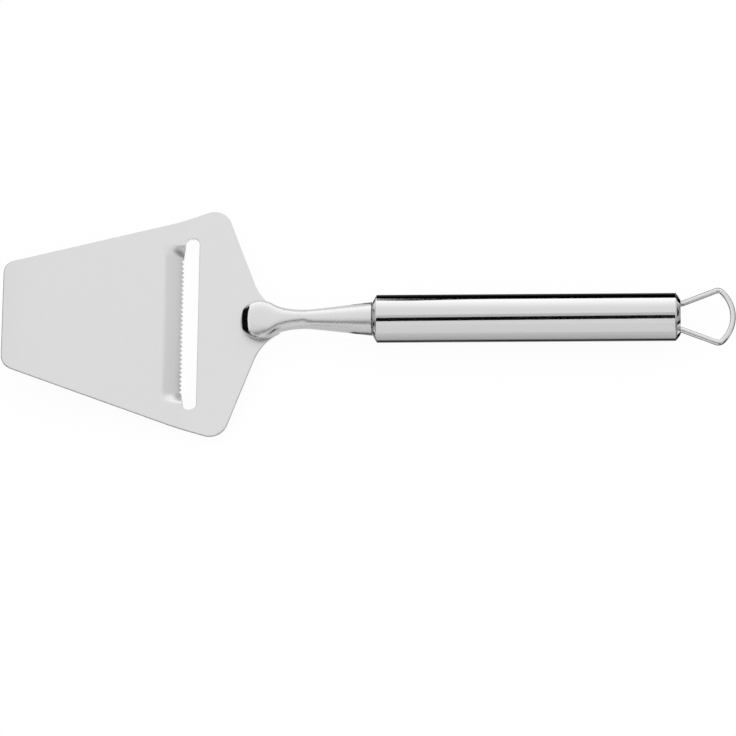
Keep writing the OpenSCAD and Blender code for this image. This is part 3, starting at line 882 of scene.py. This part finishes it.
# What the polished steel reflects: name, material and corners in millimetres, with x towards the
# loop, y north and z up. Papers and cloths lie on the floor, and cards stand or hang. Two of the sheets on
# the floor are painted shadow of the handle, and one is painted light under the slot.
CARDS = (
    ("paper_white", "white_paper", flat(-700, CAP, -10, 900)),
    ("paper_south_west", "grey_paper", flat(-700, -28, -900, -10)),
    ("paper_neck", "neck_paper", flat(-28, CAP, -900, -10)),
    # Painted light: a sheet that glows bright under the slot, where the blade shades the floor, so that the
    # slot's end walls reflect a lit floor.
    ("painted_light_under_slot", "bright", flat(-62.5, -56, 20, 29, 2)),
    ("paper_south", "grey_paper", flat(CAP, 700, -900, -15)),
    # Painted shadow: a sheet that glows a dim grey along the handle's south side, standing in for the
    # handle's shadow on the floor as the steel reflects it.
    ("painted_shadow_beside_handle", "shade", flat(CAP, REAR, -15, 9)),
    ("cloth_near", "dim", flat(CAP, REAR, 9, 15)),
    ("cloth_middle", "dark", flat(CAP, REAR, 15, 27)),
    ("cloth_north", "black", flat(CAP, REAR, 27, 900)),
    ("cloth_north_east", "black", flat(REAR, 700, 35, 900)),
    ("cloth_east", "black", flat(165, 700, -15, 35)),
    ("cloth_cap_north", "black", flat(104, 119, 12, 30)),
    ("cloth_cap_south", "black", flat(108, 130, -22, -9, 2)),
    # Painted shadow: a black strip just beside the handle's south edge, the darkest part of the handle's
    # shadow on the floor as the steel reflects it.
    ("painted_shadow_under_handle", "black", flat(CAP, REAR, -12.5, -9.5, 2)),
    ("cloth_front_south", "black", flat(-7, CAP, -12, -4, 2)),
    ("cloth_front_north", "dark", flat(-7, -1, 5, 16, 2)),
    ("cloth_loop_far", "black", flat(118, 175, -45, -15, 2)),
    ("cloth_rear_south", "black", flat(REAR, 108, -14, -5, 2)),
    ("cloth_loop", "black", [[126, -8, LAYER], [139, -8, LAYER], [160, 5, LAYER], [126, 5, LAYER]]),
    ("cloth_loop_north", "black", [[126, 5, LAYER], [160, 5, LAYER], [156, 19, LAYER], [126, 19, LAYER]]),
    ("card_north", "black", upright(CAP, 900, 700, 900, 0, 52)),
    ("card_north_west", "black", [[-70, 900, 0], [CAP, 900, 0], [CAP, 900, 80], [-35, 900, 210]]),
    ("card_west", "black", upright(-127, -200, -127, 120, 0, 58)),
    ("card_west_south", "black", upright(-127, -200, -75, -200, 0, 58)),
    ("card_west_light", "bright", upright(-400, -300, -400, 350, 270, 750)),
    ("card_east", "pale", upright(600, -150, 600, 750, 30, 450)),
    ("card_south_east", "black", upright(125, -500, 330, -500, 50, 560)),
    ("card_lip", "black", upright(125, -335, 240, -250, 80, 450)),
    ("card_lip_soft", "half", upright(118, -390, 240, -285, 300, 850)),
    ("card_loop", "black", upright(300, -220, 300, -80, 0, 150)),
    ("card_loop_west", "black", upright(-320, -300, -320, -190, 20, 450)),
    ("card_lens", "black", over([-120, 103.5], [160, 96], [160, 112.5], [-120, 121])),
    ("card_lens_side", "grey", over([-120, 92], [160, 83], [160, 96], [-120, 103.5])),
    ("card_stand", "black", [[-20, -580, 1360], [-140, -360, 1450], [-590, -1020, 920], [-340, -1270, 730]]),
)
# Grey of the soft surround at angles over the slicer, in degrees from the north horizon
SKY = (
    (0, 0.9),
    (16, 0.86),
    (30, 0.77),
    (42, 0.70),
    (52, 0.63),
    (66, 0.60),
    (80, 0.59),
    (120, 0.56),
    (131, 0.57),
    (140, 0.54),
    (180, 0.52),
)


class StageSettings(bpy.types.PropertyGroup):
    """Camera angle and light levels of the studio."""

    tilt: angle("Camera tilt", "Angle between the camera's axis and straight down", 18.137)
    turn: angle("Camera turn", "Turn of the camera round the vertical", 10.857)
    roll: angle("Camera roll", "Roll of the camera round its own axis", 10.701)
    distance: length("Camera distance", "Distance from the camera to the slicer", 1647.45)
    scale: ratio("Photograph scale", "Pixels of the photograph per metre at the slicer", 3043.63)
    aim_x: ratio("Aim across", "Pixel column of the aim point", 369.59)
    aim_y: ratio("Aim down", "Pixel row of the aim point", 321.60)
    aim_z: length("Aim height", "Height of the aim point over the table", 5)
    sky: ratio("Soft light", "Strength of the soft surround", 2.0)
    floor_lift: share("Floor lift", "Share by which the floor is lifted to plain white", 0.94)
    paper_lift: share("White paper lift", "Share by which the white paper is lifted", 0.45)
    neck_lift: share("Neck paper lift", "Share by which the paper beside the neck is lifted", 0.25)


def card(name, corners, material, seen=False, steps=8):
    """Flat studio card, two parameters between its four corners, which are in millimetres. Only
    reflections show it, unless it is seen."""
    p = np.asarray(corners, float) * MM
    s = np.linspace(0, 1, steps + 1)
    u, v = (g[..., None] for g in np.meshgrid(s, s, indexing="ij"))
    points = (1 - u) * (1 - v) * p[0] + u * (1 - v) * p[1] + u * v * p[2] + (1 - u) * v * p[3]
    mesh = bpy.data.meshes.new(name)
    i, j = (g.ravel() for g in np.meshgrid(np.arange(steps), np.arange(steps), indexing="ij"))
    first, beside = i * (steps + 1) + j, (i + 1) * (steps + 1) + j
    quads = np.stack([first, beside, beside + 1, first + 1], -1)
    mesh.from_pydata(points.reshape(-1, 3).tolist(), [], quads.tolist())
    mesh.materials.append(material)
    obj = bpy.data.objects.new(name, mesh)
    bpy.context.scene.collection.objects.link(obj)
    for ray in ("camera", "diffuse", "transmission", "volume_scatter", "shadow"):
        setattr(obj, "visible_" + ray, seen)


def matt_floor(name, colour, lift):
    """Painted floor or paper: matt, so that it keeps the object's shadow, and lifted by this share to
    plain white where the camera or a reflection looks at it, without sending the object more light."""
    material, tree = new_material(name)
    path = add(tree, "ShaderNodeLightPath")
    seen = path.outputs["Is Camera Ray"]
    for ray in ("Is Glossy Ray", "Is Transmission Ray"):
        seen = add(tree, "ShaderNodeMath", {0: seen, 1: path.outputs[ray]}, operation="MAXIMUM").outputs[0]
    lifted = add(tree, "ShaderNodeMath", {0: seen, 1: lift}, operation="MULTIPLY").outputs[0]
    matt = add(tree, "ShaderNodeBsdfDiffuse", {"Color": linear(colour), "Roughness": 0.5}).outputs[0]
    white = add(tree, "ShaderNodeEmission", {"Color": WHITE, "Strength": 1.0}).outputs[0]
    both = add(tree, "ShaderNodeMixShader", {0: lifted, 1: matt, 2: white})
    add(tree, "ShaderNodeOutputMaterial", {"Surface": both.outputs[0]})
    return material


def surround(strength):
    """Soft surround: a grey that depends only on the direction's angle over the slicer, from the
    north horizon over the top to the south horizon. What the camera sees of it is plain white."""
    world = bpy.data.worlds.new("soft_surround")
    bpy.context.scene.world = world
    world.use_nodes = True
    tree = world.node_tree
    tree.nodes.clear()
    place = add(tree, "ShaderNodeTexCoord").outputs["Generated"]
    parts = add(tree, "ShaderNodeSeparateXYZ", {0: place}).outputs
    around = add(tree, "ShaderNodeMath", {0: parts[2], 1: parts[1]}, operation="ARCTAN2").outputs[0]
    half_turn = {"Value": around, "From Min": 0.0, "From Max": math.pi, "To Min": 0.0, "To Max": 1.0}
    along = add(tree, "ShaderNodeMapRange", half_turn).outputs[0]
    ramp = add(tree, "ShaderNodeValToRGB", {0: along})
    band = ramp.color_ramp
    while len(band.elements) < len(SKY):
        band.elements.new(0.5)
    for element, (degrees, grey) in zip(band.elements, SKY):
        element.position = degrees / 180
        element.color = (grey, grey, grey, 1)
    sky = add(tree, "ShaderNodeBackground", {"Color": ramp.outputs[0], "Strength": strength}).outputs[0]
    white = add(tree, "ShaderNodeBackground", {"Color": WHITE, "Strength": 1.0}).outputs[0]
    path = add(tree, "ShaderNodeLightPath")
    both = add(tree, "ShaderNodeMixShader", {0: path.outputs["Is Camera Ray"], 1: sky, 2: white})
    add(tree, "ShaderNodeOutputWorld", {"Surface": both.outputs[0]})


def camera(s):
    """Camera at the photograph's angle. The aim point lies over the slicer's middle, and the axis is
    turned from it so that it falls on its own pixel without any shift."""
    lean = math.sin(s.tilt)
    up = Vector((lean * math.sin(s.turn), -lean * math.cos(s.turn), math.cos(s.tilt)))
    right = Vector((math.cos(s.turn), math.sin(s.turn), 0))
    back = up.cross(right)
    across = right * math.cos(s.roll) - back * math.sin(s.roll)
    along = right * math.sin(s.roll) + back * math.cos(s.roll)
    focal = s.scale * s.distance
    middle = PHOTO_PIXELS / 2
    axis = -up + across * (middle - s.aim_x) / focal - along * (middle - s.aim_y) / focal
    z = -axis.normalized()
    x = (across - z * across.dot(z)).normalized()
    y = z.cross(x)
    data = bpy.data.cameras.new("camera")
    data.sensor_width = SENSOR
    data.lens = focal / PHOTO_PIXELS * SENSOR
    data.clip_start, data.clip_end = 0.05, 50
    obj = bpy.data.objects.new("camera", data)
    bpy.context.scene.collection.objects.link(obj)
    turned = Matrix((x, y, z)).transposed().to_4x4()
    obj.matrix_world = Matrix.Translation(Vector((0, 0, s.aim_z)) + up * s.distance) @ turned
    bpy.context.scene.camera = obj


class SLICER_OT_stage(bpy.types.Operator):
    """Makes the floor, the soft surround, the reflected cards and the camera"""

    bl_idname = "slicer.stage"
    bl_label = "Make the stage"

    def execute(self, context):
        s, f = context.scene.slicer_stage, context.scene.slicer_finishes
        half = 4000
        floor = matt_floor("matt_studio_floor", f.floor, s.floor_lift)
        card("studio_floor", flat(-half, half, -half, half, 0), floor, seen=True)
        materials = {key: glowing(key + "_card", strength) for key, strength in GLOW.items()}
        for key, colour, lift in (
            ("white_paper", f.floor, s.paper_lift),
            ("grey_paper", f.paper, 0.0),
            ("neck_paper", f.neck_paper, s.neck_lift),
        ):
            materials[key] = matt_floor(key, colour, lift)
        for name, key, corners in CARDS:
            card(name, corners, materials[key])
        surround(s.sky)
        camera(s)
        context.scene.view_settings.view_transform = "Standard"
        return {"FINISHED"}


class SLICER_PT_panel(bpy.types.Panel):
    """Lists the steps that make the slicer"""

    bl_idname = "SLICER_PT_panel"
    bl_label = "Cheese slicer"
    bl_space_type = "VIEW_3D"
    bl_region_type = "UI"
    bl_category = "Slicer"

    def draw(self, context):
        for operator in OPERATORS:
            self.layout.operator(operator.bl_idname)


SETTINGS = {
    "slicer_blade": BladeSizes,
    "slicer_neck": NeckSizes,
    "slicer_handle": HandleSizes,
    "slicer_loop": LoopSizes,
    "slicer_finishes": Finishes,
    "slicer_stage": StageSettings,
}
OPERATORS = (
    SLICER_OT_blade,
    SLICER_OT_neck,
    SLICER_OT_handle,
    SLICER_OT_loop,
    SLICER_OT_welds,
    SLICER_OT_stage,
)


def register():
    for group in (*SETTINGS.values(), *OPERATORS, SLICER_PT_panel):
        bpy.utils.register_class(group)
    for name, group in SETTINGS.items():
        setattr(bpy.types.Scene, name, bpy.props.PointerProperty(type=group))


def unregister():
    for name in SETTINGS:
        delattr(bpy.types.Scene, name)
    for group in reversed((*SETTINGS.values(), *OPERATORS, SLICER_PT_panel)):
        bpy.utils.unregister_class(group)


def main():
    register()
    bpy.ops.slicer.blade()
    bpy.ops.slicer.neck()
    bpy.ops.slicer.handle()
    bpy.ops.slicer.loop()
    bpy.ops.slicer.welds()
    bpy.ops.slicer.stage()


if __name__ == "__main__":
    main()
